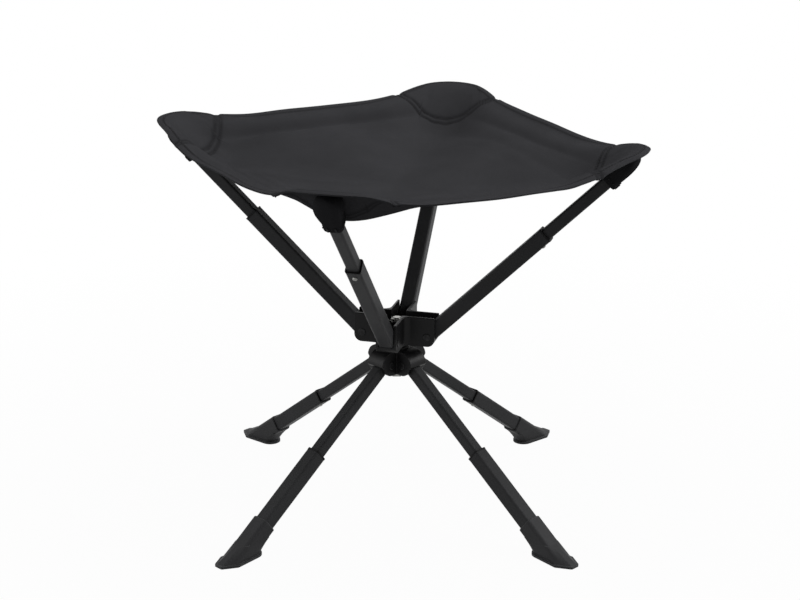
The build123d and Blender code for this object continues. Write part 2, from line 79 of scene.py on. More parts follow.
def spread(nodes, links, source, low, high, start=0.0, end=1.0):
    """Number from low to high as the source goes from start to end."""
    node = nodes.new("ShaderNodeMapRange")
    node.inputs["From Min"].default_value = start
    node.inputs["From Max"].default_value = end
    node.inputs["To Min"].default_value = low
    node.inputs["To Max"].default_value = high
    links.new(source, node.inputs["Value"])
    return node.outputs["Result"]


def bump(nodes, links, source, strength, depth, under=None):
    """Bump of a depth in metres, over another bump if one is given."""
    node = nodes.new("ShaderNodeBump")
    node.inputs["Strength"].default_value = strength
    node.inputs["Distance"].default_value = depth
    links.new(source, node.inputs["Height"])
    if under is not None:
        links.new(under, node.inputs["Normal"])
    return node.outputs["Normal"]


def edge_round(nodes, radius):
    """Normal that softens sharp edges over a radius."""
    node = nodes.new("ShaderNodeBevel")
    node.samples = 6
    node.inputs["Radius"].default_value = radius
    return node.outputs["Normal"]


def painted_edge_highlight(nodes, links, soft):
    """Share of a painted edge highlight: 1 along sharp edges, where a softened normal leaves the true one,
    and 0 on the faces.
    """
    turn = nodes.new("ShaderNodeVectorMath")
    turn.operation = "DOT_PRODUCT"
    links.new(soft, turn.inputs[0])
    links.new(nodes.new("ShaderNodeNewGeometry").outputs["Normal"], turn.inputs[1])
    return spread(nodes, links, turn.outputs["Value"], 0.0, 1.0, 0.995, 0.85)


def tinted(nodes, links, share, plain, painted_light_tone):
    """Plain colour that goes over to a painted light or shade tone by a share."""
    mix = nodes.new("ShaderNodeMixRGB")
    mix.inputs["Color2"].default_value = (*painted_light_tone, 1.0)
    links.new(share, mix.inputs["Fac"])
    links.new(plain, mix.inputs["Color1"])
    return mix.outputs["Color"]


def moulded(name, dark, pale, painted_light_tone, rough, gloss, grain, edge):
    """Satin moulded plastic or rubber with a fine grain and softened edges that carry a painted highlight."""
    material, links, nodes, surface = shader(name)
    place = nodes.new("ShaderNodeTexCoord").outputs["Object"]
    cloud = noise(nodes, links, place, 38.0)
    fine = noise(nodes, links, place, grain, 2.0)
    soft = edge_round(nodes, edge)
    plain = ramp(nodes, links, cloud, 0.3, 0.72, dark, pale)
    # Sharp edges go over to the third colour as a painted highlight.
    links.new(tinted(nodes, links, painted_edge_highlight(nodes, links, soft), plain, painted_light_tone), surface.inputs["Base Color"])
    links.new(spread(nodes, links, cloud, rough - 0.06, rough + 0.08), surface.inputs["Roughness"])
    surface.inputs["Specular IOR Level"].default_value = gloss
    links.new(bump(nodes, links, fine, 0.25, 0.00012, soft), surface.inputs["Normal"])
    return material


def dress(nodes_named, material):
    """Give carried-over solids a finished material."""
    for name in nodes_named:
        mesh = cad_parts[name].data
        mesh.materials.clear()
        mesh.materials.append(material)


# The third colour is the painted highlight along the hub's edges.
hub_nylon = moulded("hub_nylon", (0.005, 0.005, 0.0053), (0.010, 0.010, 0.0105), (0.035, 0.035, 0.036),
                    0.42, 0.14, 2600.0, 0.0009)
dress(["lower_hub"], hub_nylon)


# Leg pivot rivets: black-coated steel rivets, headed over on the outer face of each cheek.
# The coat is thin and shows a little bright steel in worn patches, and a painted highlight lies along the
# heads' edges.
def coated_steel(name, dark, pale, rough, scale):
    """Thin dark coat on steel, paler and smoother in worn patches, with a painted highlight along its edges.
    """
    material, links, nodes, surface = shader(name)
    place = nodes.new("ShaderNodeTexCoord").outputs["Object"]
    rub = noise(nodes, links, place, scale, 4.0)
    soft = edge_round(nodes, 0.0004)
    plain = ramp(nodes, links, rub, 0.42, 0.75, dark, pale)
    # Sharp edges go over to the pale tone as a painted highlight.
    links.new(tinted(nodes, links, painted_edge_highlight(nodes, links, soft), plain, pale), surface.inputs["Base Color"])
    links.new(spread(nodes, links, rub, rough + 0.1, rough - 0.1), surface.inputs["Roughness"])
    surface.inputs["Metallic"].default_value = 0.35
    surface.inputs["Specular IOR Level"].default_value = 0.2
    links.new(soft, surface.inputs["Normal"])
    return material


# The pale colour also serves as the painted highlight along the heads' edges.
rivet_black = coated_steel("rivet_black", (0.008, 0.008, 0.0083), (0.03, 0.03, 0.031), 0.42, 260.0)
dress(["leg_pivot_pins", "arm_pivot_pins"], rivet_black)


# Swivel bolt, washers and lock nut: zinc-plated steel, drawn up from above.
# The bolt holds both hubs together and the head turns about it on plastic bearings.
def zinc(name):
    """Bright zinc plate with faint brushing and clouding."""
    material, links, nodes, surface = shader(name)
    place = nodes.new("ShaderNodeTexCoord").outputs["Object"]
    cloud = noise(nodes, links, place, 420.0, 3.0)
    plate = ramp(nodes, links, cloud, 0.3, 0.8, (0.12, 0.12, 0.115), (0.32, 0.32, 0.305))
    links.new(plate, surface.inputs["Base Color"])
    links.new(spread(nodes, links, cloud, 0.2, 0.36), surface.inputs["Roughness"])
    surface.inputs["Metallic"].default_value = 1.0
    links.new(edge_round(nodes, 0.0004), surface.inputs["Normal"])
    return material


bright_zinc = zinc("bright_zinc")
dress(["swivel_bolt", "top_washer", "lock_nut"], bright_zinc)
# The third colour is the painted highlight along the washer's and bush's edges.
acetal = moulded("acetal", (0.02, 0.02, 0.02), (0.03, 0.03, 0.03), (0.05, 0.05, 0.05),
                 0.4, 0.2, 1500.0, 0.0003)
dress(["thrust_washer", "swivel_bush"], acetal)


# Upper hub: a cross of four open channels in the same black nylon, bored for the swivel.
# An arm pivots in the end of each channel and stands against its floor when it is spread.
dress(["upper_hub"], hub_nylon)


# Legs and arms: rounded-square steel tube in a dark grey powder coat, a narrow one in a wide one.
# The coat has a fine orange-peel texture and slight clouding, and a painted highlight, paler than the coat,
# along the tubes' ends and sharp edges.
def powder_coat(name, dark, pale, painted_light_tone):
    """Fine-textured dark grey powder coat."""
    material, links, nodes, surface = shader(name)
    place = nodes.new("ShaderNodeTexCoord").outputs["Object"]
    cloud = noise(nodes, links, place, 22.0, 4.0)
    peel = noise(nodes, links, place, 1800.0, 2.0)
    soft = edge_round(nodes, 0.0005)
    plain = ramp(nodes, links, cloud, 0.3, 0.75, dark, pale)
    # Sharp edges go over to the third colour as a painted highlight.
    links.new(tinted(nodes, links, painted_edge_highlight(nodes, links, soft), plain, painted_light_tone), surface.inputs["Base Color"])
    links.new(spread(nodes, links, peel, 0.4, 0.54), surface.inputs["Roughness"])
    surface.inputs["Specular IOR Level"].default_value = 0.07
    links.new(bump(nodes, links, peel, 0.3, 0.00008, soft), surface.inputs["Normal"])
    return material


# The third colour is the painted highlight along the tubes' edges.
tube_coat = powder_coat("tube_coat", (0.031, 0.0313, 0.0325), (0.041, 0.0414, 0.043), (0.085, 0.086, 0.089))
MEMBERS = range(1, 5)
dress([f"{m}_{k}_{t}_tube" for m in ("leg", "arm") for k in MEMBERS for t in ("upper", "lower")], tube_coat)


# Guide bushes and arm end caps: black plastic pressed into the tubes' mouths and on the arms' tips.
# A bush guides the narrow tube and shows as a dark line round the wide tube's mouth.
# The third colour is the painted highlight along the bushes' and caps' edges.
bush_plastic = moulded("bush_plastic", (0.004, 0.004, 0.0042), (0.007, 0.007, 0.0074), (0.016, 0.016, 0.017),
                       0.5, 0.1, 3000.0, 0.0003)
dress([f"{m}_{k}_guide_bush" for m in ("leg", "arm") for k in MEMBERS], bush_plastic)
dress([f"arm_{k}_end_cap" for k in MEMBERS], bush_plastic)


# Feet: dark grey rubber boots with a flat sole and a lip round it.
# Each one is moulded hollow and pushed over the end of its leg.
# The third colour is the painted highlight along the feet's edges.
foot_rubber = moulded("foot_rubber", (0.024, 0.0242, 0.0254), (0.033, 0.0333, 0.035), (0.075, 0.076, 0.079),
                      0.55, 0.14, 1400.0, 0.0012)
dress([f"leg_{k}_foot" for k in MEMBERS], foot_rubber)


# Snap buttons: a plated domed button on a leaf spring in each narrow tube, through holes in both.
# The spring lets it sink when it is pressed, and the wide tube rides over it as the member slides,
# so each one is also pressed flat by the member's telescope.
LEG_FRAME = (0.020, 0.1732033, radians(36.6))
ARM_FRAME = (0.0391, 0.2078033, radians(-44.3))
LEG_AZIMUTHS = [radians(a) for a in (45, 135, 225, 315)]
ARM_AZIMUTHS = [radians(a) for a in (-15, 75, 165, 255)]
LEG_BUTTON_STATION = 0.149
ARM_BUTTON_STATION = 0.1765
BUTTON_SIDES = 28
BUTTON_PROFILE = [(0.0, -10.55), (0.9, -10.47), (1.7, -10.22), (2.35, -9.78), (2.8, -9.15), (3.0, -8.4),
                  (3.0, -6.3), (3.5, -6.1), (3.5, -5.75), (0.0, -5.75)]
LEAF_LINE = [(-6.0, -5.3), (26.0, -5.3), (27.2, -4.9), (27.6, -4.1), (27.0, -3.3), (25.6, -2.9), (2.0, 0.6)]
LEAF_HALF = 0.3
LEAF_HALF_WIDTH = 3.6


def member_frame(sizes, azimuth):
    """Frame of a leg or arm: X along it from its pivot, Z across it and upwards."""
    radius, height, slope = sizes
    out = Matrix.Translation((radius, 0.0, height))
    return Matrix.Rotation(azimuth, 4, "Z") @ out @ Matrix.Rotation(slope, 4, "Y")


def lathe(mesh, profile, centre, sides):
    """Add a closed turned form about a line along Z."""
    rings = []
    for radius, height in profile:
        if radius == 0.0:
            rings.append([mesh.verts.new((centre, 0.0, height))])
            continue
        turns = [2 * pi * i / sides for i in range(sides)]
        rings.append([mesh.verts.new((centre + radius * cos(t), radius * sin(t), height)) for t in turns])
    for low, high in zip(rings, rings[1:]):
        for i in range(sides):
            j = (i + 1) % sides
            corners = [low[i % len(low)], low[j % len(low)], high[j % len(high)], high[i % len(high)]]
            mesh.faces.new(list(dict.fromkeys(corners)))


def bent_leaf(mesh, line, half, half_width):
    """Add a bent strip of spring steel along a line in XZ."""
    points = [Vector((x, 0.0, z)) for x, z in line]
    sections = []
    for i, point in enumerate(points):
        along = (points[min(i + 1, len(points) - 1)] - points[max(i - 1, 0)]).normalized()
        across = Vector((-along.z, 0.0, along.x)) * half
        side = Vector((0.0, half_width, 0.0))
        corners = (point + across + side, point - across + side, point - across - side, point + across - side)
        sections.append([mesh.verts.new(c) for c in corners])
    for first, second in zip(sections, sections[1:]):
        for i in range(4):
            mesh.faces.new((first[i], first[(i + 1) % 4], second[(i + 1) % 4], second[i]))
    mesh.faces.new(sections[0])
    mesh.faces.new(sections[-1])


def snap_button(name, place, station, towards):
    """Button and spring of one member, in its place."""
    form = bmesh.new()
    centre = station * 1000
    lathe(form, BUTTON_PROFILE, centre, BUTTON_SIDES)
    bent_leaf(form, [(centre + towards * x, z) for x, z in LEAF_LINE], LEAF_HALF, LEAF_HALF_WIDTH)
    bmesh.ops.recalc_face_normals(form, faces=form.faces)
    form.transform(place @ Matrix.Scale(0.001, 4))
    mesh = bpy.data.meshes.new(name)
    form.to_mesh(mesh)
    form.free()
    mesh.shade_smooth()
    mesh.set_sharp_from_angle(angle=radians(35))
    mesh.materials.append(bright_zinc)
    piece = bpy.data.objects.new(name, mesh)
    bpy.context.scene.collection.objects.link(piece)
    return piece


for member, sizes, azimuths, station, towards in (("leg", LEG_FRAME, LEG_AZIMUTHS, LEG_BUTTON_STATION, 1),
                                                  ("arm", ARM_FRAME, ARM_AZIMUTHS, ARM_BUTTON_STATION, -1)):
    for k, azimuth in zip(MEMBERS, azimuths):
        place = member_frame(sizes, azimuth)
        piece = snap_button(f"{member}_{k}_spring_button", place, station, towards)
        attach(piece, f"{member}_{k}_button")
        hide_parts(f"{member}_{k}_snap_button")
        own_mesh(piece)


# Seat: one square of charcoal plain-woven polyester with rounded corners, hemmed all round.
# Each corner is doubled into a lobe, closed at its base by two rows of stitching over a pocket.
# It is made as gores about the middle, two opposite gores to a piece.
SEAT_TURN = radians(-15.0)
SEAT_HALF = 0.2172
CORNER_ROUND = 0.050
TIP_REACH = 0.2864
TIP_HEIGHT = 0.4491
# Corners run from the right one by the back and left to the front, edges from the back-right one.
TIP_RISES = np.array([-0.0045, 0.0015, 0.0015, 0.0])
DISH_DEPTH = 0.053
MIDDLE_SAG = 0.010
MIDDLE_SAG_SPAN = 0.75
HEMS_BELOW_TIP = np.array([0.0155, 0.0120, 0.0224, 0.0265])
HEM_TILTS = np.array([0.0080, 0.0015, 0.0, -0.0040])
LOBE_TAPER = 4
VALLEY_TAPER = 1.5
LOBE_INNER = 0.086
LOBE_INNER_BELOW_TIP = 0.0505
LOBE_INNER_SLOPE = 0.12
LOBE_TIP_SLOPE = 0.14
CLOTH_THICKNESS = 0.0013
HEM_WIDTH = 0.010
HEM_STEP = 0.0006
HEM_EASE = 0.0012
HEM_TURN = 0.0024
HEM_ROW = 0.0078
HEM_ROW_HALF = 0.0012
HEM_ROW_PULL = 0.9
HEM_RIPPLE = 0.0008
STITCH_GROOVE = 0.0013
LOBE_SEAM = 0.230
LOBE_SEAM_BOW = 0.020
LOBE_SEAM_HALF = 0.071
LOBE_ROW_GAP = 0.0065
LOBE_ROW_HALF = 0.0018
LOBE_PUFF = 0.003
LOBE_CREASES = (0.026, -0.038)
LOBE_CREASE_DEPTHS = (0.0014, 0.0010)
LOBE_CREASE_HALF = 0.0035
LOBE_CREASE_REACH = 0.011
LOBE_CREASE_PAST_SEAM = 0.017
SEAM_END_PULL = 0.0018
SEAM_END_INSET = 0.005
SEAM_END_REACH = 0.0075
PUCKER_HEIGHT = 0.0005
PUCKER_PITCH = 0.017
PUCKER_REACH = 0.008
CREASES = np.array([0.4, 1.0, 0.3, 0.35])
CREASE_RUN = 0.135
CREASE_INSIDE = 0.024
CREASE_RIDGE = 0.0055
CREASE_RIDGE_HALF = 0.010
CREASE_GROOVE = 0.0042
CREASE_GROOVE_HALF = 0.0042
CREASE_GROOVE_INSIDE = 0.037
TENSION_FOLDS = np.array([0.6, 0.5, 1.0, 0.8])
FOLD_HEIGHT = 0.0007
FOLD_PITCH = 0.023
FOLD_INSIDE = 0.062
FOLD_REACH = 0.026
INNER_ROWS = 120
FIRST_ROW = 0.006
LAST_INNER_ROW = 0.0225
HEM_ROWS = np.array([0.020, 0.0165, 0.0135, 0.0115, 0.0105, 0.0098, 0.009, 0.0083, 0.0075, 0.0066, 0.005,
                     0.003, 0.0014, 0.0005, 0.0])
GORE_PAIRS = 8
GORE_STEPS = 56


def seat_reach(angle):
    """Plan distance from the middle to the edge, at angles from a corner, and the edge's slant there."""
    off = np.abs((angle + pi / 4) % (pi / 2) - pi / 4)
    inner = SEAT_HALF - CORNER_ROUND
    round_ends = atan2(SEAT_HALF, inner) - pi / 4
    straight = SEAT_HALF / np.cos(pi / 4 - off)
    middle = inner * sqrt(2)
    arc = middle * np.cos(off) + np.sqrt(np.maximum(CORNER_ROUND ** 2 - (middle * np.sin(off)) ** 2, 0))
    slant = np.where(off > round_ends, np.cos(pi / 4 - off), 1.0)
    return np.where(off > round_ends, straight, arc), slant


def lobe_drop(along):
    """Depth below the tip on a corner's middle line."""
    inner = 1 - LOBE_INNER / TIP_REACH
    bowl = DISH_DEPTH - (DISH_DEPTH - LOBE_INNER_BELOW_TIP) * (along / inner) ** 2
    s = np.clip((along - inner) / (1 - inner), 0, 1)
    start = LOBE_INNER_BELOW_TIP * (2 * s ** 3 - 3 * s ** 2 + 1)
    slopes = LOBE_INNER_SLOPE * (s ** 3 - 2 * s ** 2 + s) + LOBE_TIP_SLOPE * (s ** 3 - s ** 2)
    return np.where(along < inner, bowl, start - LOBE_INNER * slopes)


def edge_drop(along, hem):
    """Depth below the tip from the middle to the middle of an edge, which turns up at its hem."""
    rise = 0.8 * along ** 2 + 0.2 * along ** 9
    return DISH_DEPTH - (DISH_DEPTH - hem) * rise


def seam_out(side):
    """Distance out from the middle of the seam at a lobe's base, across the lobe."""
    return LOBE_SEAM + LOBE_SEAM_BOW * np.abs(side / LOBE_SEAM_HALF) ** 3


def hump(off, half):
    """1 at no offset, and falling off to either side over a half width."""
    return np.exp(-(off / half) ** 2)


def drawn_in(azimuth, reach):
    """1 along the rows of stitching, which draw the cloth in, and 0 away from them."""
    edge, slant = seat_reach(azimuth - SEAT_TURN)
    off = (azimuth - SEAT_TURN + pi / 4) % (pi / 2) - pi / 4
    side = reach * np.sin(off)
    past_seam = reach * np.cos(off) - seam_out(side)
    lobe = np.maximum(hump(past_seam, LOBE_ROW_HALF), hump(past_seam + LOBE_ROW_GAP, LOBE_ROW_HALF))
    lobe *= np.abs(side) < LOBE_SEAM_HALF
    return np.maximum(lobe, HEM_ROW_PULL * hump((edge - reach) * slant - HEM_ROW, HEM_ROW_HALF))


def doubled(inset):
    """Extra thickness of the turned hem at distances in from the edge."""
    return HEM_STEP * np.clip((HEM_WIDTH - inset) / HEM_EASE + 0.5, 0, 1)


def seat_height(azimuth, reach):
    """Height of the seat's top at plan positions about the middle."""
    angle = azimuth - SEAT_TURN
    edge, slant = seat_reach(angle)
    along = np.clip(reach / edge, 0, 1)
    share = ((1 + np.cos(4 * angle)) / 2) ** (VALLEY_TAPER + (LOBE_TAPER - VALLEY_TAPER) * along ** 8)
    corner = np.round(angle / (pi / 2)).astype(int) % 4
    which = np.floor(angle / (pi / 2)).astype(int) % 4
    height = TIP_HEIGHT + TIP_RISES[corner] * share * along ** 6
    hem = HEMS_BELOW_TIP[which] - HEM_TILTS[which] * ((angle % (pi / 2)) / (pi / 4) - 1)
    height -= share * lobe_drop(along) + (1 - share) * edge_drop(along, hem)
    height -= MIDDLE_SAG * np.clip(1 - (along / MIDDLE_SAG_SPAN) ** 2, 0, 1) ** 2

    off = (angle + pi / 4) % (pi / 2) - pi / 4
    out, side = reach * np.cos(off), reach * np.sin(off)
    past_seam = out - seam_out(side)
    across = np.clip(1 - (side / LOBE_SEAM_HALF) ** 2, 0, 1)
    past = np.clip(past_seam / (TIP_REACH - LOBE_SEAM), 0, 1)
    height += LOBE_PUFF * np.sin(pi * past) * across
    height -= STITCH_GROOVE * drawn_in(azimuth, reach)
    for crease_side, depth in zip(LOBE_CREASES, LOBE_CREASE_DEPTHS):
        crease = hump(past_seam - LOBE_CREASE_PAST_SEAM, LOBE_CREASE_REACH)
        height -= depth * crease * hump(side - crease_side, LOBE_CREASE_HALF)
    to_end = np.abs(side) - LOBE_SEAM_HALF + SEAM_END_INSET
    height -= SEAM_END_PULL * hump(np.hypot(to_end, past_seam), SEAM_END_REACH)
    pucker = np.sin(2 * pi * side / PUCKER_PITCH) * hump(past_seam + PUCKER_REACH, PUCKER_REACH)
    height += PUCKER_HEIGHT * pucker * across

    edge_turn = angle % (pi / 2) - pi / 4
    inside, run = SEAT_HALF - reach * np.cos(edge_turn), reach * np.sin(edge_turn)
    middle = np.exp(-(run / CREASE_RUN) ** 4)
    crease = CREASE_RIDGE * hump(inside - CREASE_INSIDE, CREASE_RIDGE_HALF)
    crease -= CREASE_GROOVE * hump(inside - CREASE_GROOVE_INSIDE, CREASE_GROOVE_HALF)
    waves = np.sin(2 * pi * inside / FOLD_PITCH + 1.7 * which + 9 * run)
    folds = FOLD_HEIGHT * waves * hump(inside - FOLD_INSIDE, FOLD_REACH)
    height += (CREASES[which] * crease + TENSION_FOLDS[which] * folds) * middle

    inset = (edge - reach) * slant
    height += doubled(inset)
    height -= HEM_TURN * np.clip(1 - inset / HEM_WIDTH, 0, 1) ** 2
    ripple = np.sin(9 * azimuth + 1.3) * 0.5 + np.sin(14 * azimuth + 60 * reach + 0.4) * 0.35
    height += HEM_RIPPLE * ripple * along ** 2 * (1 - share)
    return height


def seat_rows(azimuth):
    """Plan distances of the mesh's rows from the middle out, close together at the hem."""
    edge, slant = seat_reach(azimuth - SEAT_TURN)
    inner = np.linspace(FIRST_ROW, edge - LAST_INNER_ROW / slant, INNER_ROWS)
    return np.concatenate([inner, edge - HEM_ROWS / slant])


def weave(name, dark, pale, pitch):
    """Charcoal plain weave that follows the cloth's own map, with soft clouding, faint creases and painted
    shade along the rows of stitching.
    """
    material, links, nodes, surface = shader(name)
    flat = nodes.new("ShaderNodeUVMap").outputs["UV"]
    threads = []
    for turn in (0.0, pi / 2):
        mapping = nodes.new("ShaderNodeMapping")
        mapping.inputs["Rotation"].default_value = (0.0, 0.0, turn)
        links.new(flat, mapping.inputs["Vector"])
        wave = nodes.new("ShaderNodeTexWave")
        wave.inputs["Scale"].default_value = 2 * pi / 20 / pitch
        wave.inputs["Distortion"].default_value = 0.6
        links.new(mapping.outputs["Vector"], wave.inputs["Vector"])
        threads.append(wave.outputs["Fac"])
    cross = nodes.new("ShaderNodeMath")
    cross.operation = "MULTIPLY"
    links.new(threads[0], cross.inputs[0])
    links.new(threads[1], cross.inputs[1])
    cloud = noise(nodes, links, flat, 14.0, 5.0)
    crease = noise(nodes, links, flat, 46.0, 2.0)
    tint = nodes.new("ShaderNodeMixRGB")
    tint.blend_type = "MULTIPLY"
    tint.inputs["Fac"].default_value = 0.35
    links.new(ramp(nodes, links, cloud, 0.3, 0.72, dark, pale), tint.inputs["Color1"])
    links.new(cross.outputs["Value"], tint.inputs["Color2"])
    # Painted shade in the stitching's grooves: the stitched attribute darkens the cloth towards 0.38 of its
    # dark tone.
    stitched = nodes.new("ShaderNodeAttribute")
    stitched.attribute_name = "stitched"
    shaded = tinted(nodes, links, stitched.outputs["Fac"], tint.outputs["Color"], [c * 0.38 for c in dark])
    links.new(shaded, surface.inputs["Base Color"])
    surface.inputs["Roughness"].default_value = 0.9
    surface.inputs["Specular IOR Level"].default_value = 0.0
    broad = bump(nodes, links, crease, 0.15, 0.0012)
    links.new(bump(nodes, links, cross.outputs["Value"], 0.35, 0.0002, broad), surface.inputs["Normal"])
    return material


seat_cloth = weave("seat_cloth", (0.047, 0.047, 0.0505), (0.0565, 0.0565, 0.0608), 0.0008)


def grid_normals(points):
    """Unit normals of a grid of points, upwards."""
    found = np.cross(np.gradient(points, axis=1), np.gradient(points, axis=0))
    found /= np.linalg.norm(found, axis=2, keepdims=True)
    return found * np.sign(found[:, :, 2:3])


columns = np.linspace(0, 2 * pi, 2 * GORE_PAIRS * GORE_STEPS + 1) + SEAT_TURN - pi / (2 * GORE_PAIRS)
all_rows = np.stack([seat_rows(a) for a in columns])
all_spin = np.repeat(columns[:, None], all_rows.shape[1], axis=1)
all_points = np.stack([all_rows * np.cos(all_spin), all_rows * np.sin(all_spin),
                       seat_height(all_spin, all_rows)], axis=2)
wrapped = np.concatenate([all_points[-2:-1], all_points, all_points[1:2]])
all_normals = grid_normals(wrapped)[1:-1]


def gore(picked, first):
    """Points, map points, quads, triangles and their corners' normals of one closed gore of cloth."""
    azimuths, rows, spin = columns[picked], all_rows[picked], all_spin[picked]
    top, normals = all_points[picked], all_normals[picked]
    edge, slant = seat_reach(spin - SEAT_TURN)
    bottom = top - normals * (CLOTH_THICKNESS + doubled((edge - rows) * slant))[:, :, None]
    steps, count = rows.shape
    middle = float(seat_height(np.array([0.0]), np.array([0.0]))[0])
    poles = np.array([(0.0, 0.0, middle), (0.0, 0.0, middle - CLOTH_THICKNESS)])
    turned = spin - SEAT_TURN + pi / 4
    flat = np.stack([rows * np.cos(turned), rows * np.sin(turned)], axis=2).reshape(-1, 2)
    index = np.arange(steps * count).reshape(steps, count)
    under, apex = index + steps * count, 2 * steps * count
    up = normals.reshape(-1, 3)
    quads, quad_normals, triangles, triangle_normals = [], [], [], []

    def cover(grid, sign):
        """Add the upper face of the cloth, or the lower one with sign -1."""
        quad = np.stack([grid[:-1, :-1], grid[:-1, 1:], grid[1:, 1:], grid[1:, :-1]], axis=2).reshape(-1, 4)
        quad = quad if sign > 0 else quad[:, ::-1]
        quads.append(quad)
        quad_normals.append(sign * up[quad % (steps * count)])
        pole = apex if sign > 0 else apex + 1
        fan = np.stack([np.full(steps - 1, pole), grid[:-1, 0], grid[1:, 0]], axis=1)
        fan = fan if sign > 0 else fan[:, [0, 2, 1]]
        triangles.append(fan)
        triangle_normals.append(np.tile((0.0, 0.0, float(sign)), (len(fan), 3, 1)))

    def wall(quad, direction):
        """Add flat faces of the cloth's cut edge."""
        quads.append(quad)
        quad_normals.append(np.tile(direction, (len(quad), 4, 1)))

    cover(index, 1)
    cover(under, -1)
    for i in range(steps - 1):
        rim = np.array([[index[i, -1], under[i, -1], under[i + 1, -1], index[i + 1, -1]]])
        wall(rim, (cos(azimuths[i]), sin(azimuths[i]), 0.0))
    for i, sign in ((0, 1), (steps - 1, -1)):
        line_top = np.concatenate([[apex], index[i]])
        line_under = np.concatenate([[apex + 1], under[i]])
        side = np.stack([line_top[:-1], line_under[:-1], line_under[1:], line_top[1:]], axis=1)
        outward = np.array((sin(azimuths[i]), -cos(azimuths[i]), 0.0)) * sign
        wall(side if sign > 0 else side[:, ::-1], outward)
    points = np.concatenate([top.reshape(-1, 3), bottom.reshape(-1, 3), poles])
    flat = np.concatenate([flat, flat, np.zeros((2, 2))])
    return (points, flat, np.concatenate(quads) + first, np.concatenate(quad_normals),
            np.concatenate(triangles) + first, np.concatenate(triangle_normals))


def cloth_piece(name, points, faces, corner_normals, flat, material):
    """Piece of cloth from its points, faces, corner normals and map points."""
    mesh = bpy.data.meshes.new(name)
    mesh.from_pydata(points.tolist(), [], faces)
    layer = mesh.uv_layers.new(name="flat")
    corner_points = np.zeros(len(mesh.loops), dtype=int)
    mesh.loops.foreach_get("vertex_index", corner_points)
    layer.data.foreach_set("uv", flat[corner_points].ravel())
    mesh.shade_smooth()
    if corner_normals is not None:
        mesh.normals_split_custom_set(corner_normals.tolist())
    mesh.materials.append(material)
    piece = bpy.data.objects.new(name, mesh)
    bpy.context.scene.collection.objects.link(piece)
    return piece


gores = []
for pair in range(GORE_PAIRS):
    halves, first = [], 0
    for g in (pair, pair + GORE_PAIRS):
        picked = slice(g * GORE_STEPS, (g + 1) * GORE_STEPS + 1)
        halves.append(gore(picked, first))
        first += len(halves[-1][0])
    points, flat, quads, quad_normals, triangles, triangle_normals = (np.concatenate(h) for h in zip(*halves))
    corner_normals = np.concatenate([quad_normals.reshape(-1, 3), triangle_normals.reshape(-1, 3)])
    faces = quads.tolist() + triangles.tolist()
    piece = cloth_piece(f"seat_gore_{pair + 1}", points, faces, corner_normals, flat, seat_cloth)
    # The stitched attribute is the mask of the painted shade along the rows of stitching.
    stitched = piece.data.attributes.new("stitched", "FLOAT", "POINT")
    spins, reaches = np.arctan2(points[:, 1], points[:, 0]), np.hypot(points[:, 0], points[:, 1])
    stitched.data.foreach_set("value", drawn_in(spins, reaches))
    gores.append(piece)


# Seat stitching: dark polyester thread in one row along the hem and two across each lobe's base.
# Each row is a line of separate stitches laid in the groove that they pull into the cloth.
SEAT_STITCH = {"Pitch": 0.0038, "Stitch Length": 0.0031, "Thread": 0.0009}
STITCH_LIFT = 0.0001


def stitch_tree(material):
    """Node tree that lays stitches along the edges of a mesh."""
    tree = bpy.data.node_groups.new("stitch_row", "GeometryNodeTree")
    tree.interface.new_socket("Geometry", in_out="INPUT", socket_type="NodeSocketGeometry")
    for name in SEAT_STITCH:
        tree.interface.new_socket(name, in_out="INPUT", socket_type="NodeSocketFloat")
    tree.interface.new_socket("Geometry", in_out="OUTPUT", socket_type="NodeSocketGeometry")
    nodes, links = tree.nodes, tree.links
    given, result = nodes.new("NodeGroupInput"), nodes.new("NodeGroupOutput")
    line = nodes.new("GeometryNodeMeshToCurve")
    spots = nodes.new("GeometryNodeCurveToPoints")
    spots.mode = "LENGTH"
    stitch = nodes.new("GeometryNodeMeshUVSphere")
    stitch.inputs["Segments"].default_value = 7
    stitch.inputs["Rings"].default_value = 4
    stitch.inputs["Radius"].default_value = 0.5
    lay = nodes.new("FunctionNodeAlignRotationToVector")
    lay.axis = "X"
    size = nodes.new("ShaderNodeCombineXYZ")
    place = nodes.new("GeometryNodeInstanceOnPoints")
    realize = nodes.new("GeometryNodeRealizeInstances")
    smooth = nodes.new("GeometryNodeSetShadeSmooth")
    finish = nodes.new("GeometryNodeSetMaterial")
    finish.inputs["Material"].default_value = material
    links.new(given.outputs["Geometry"], line.inputs["Mesh"])
    links.new(line.outputs["Curve"], spots.inputs["Curve"])
    links.new(given.outputs["Pitch"], spots.inputs["Length"])
    links.new(spots.outputs["Points"], place.inputs["Points"])
    links.new(stitch.outputs["Mesh"], place.inputs["Instance"])
    links.new(spots.outputs["Tangent"], lay.inputs["Vector"])
    links.new(lay.outputs["Rotation"], place.inputs["Rotation"])
    links.new(given.outputs["Stitch Length"], size.inputs["X"])
    links.new(given.outputs["Thread"], size.inputs["Y"])
    links.new(given.outputs["Thread"], size.inputs["Z"])
    links.new(size.outputs["Vector"], place.inputs["Scale"])
    links.new(place.outputs["Instances"], realize.inputs["Geometry"])
    links.new(realize.outputs["Geometry"], smooth.inputs["Geometry"])
    links.new(smooth.outputs["Geometry"], finish.inputs["Geometry"])
    links.new(finish.outputs["Geometry"], result.inputs["Geometry"])
    return tree


# The third colour is the painted highlight along the stitches' edges.
thread_black = moulded("thread_black", (0.014, 0.014, 0.015), (0.02, 0.02, 0.021), (0.03, 0.03, 0.031),
                       0.6, 0.12, 5000.0, 0.0001)
sewing = stitch_tree(thread_black)


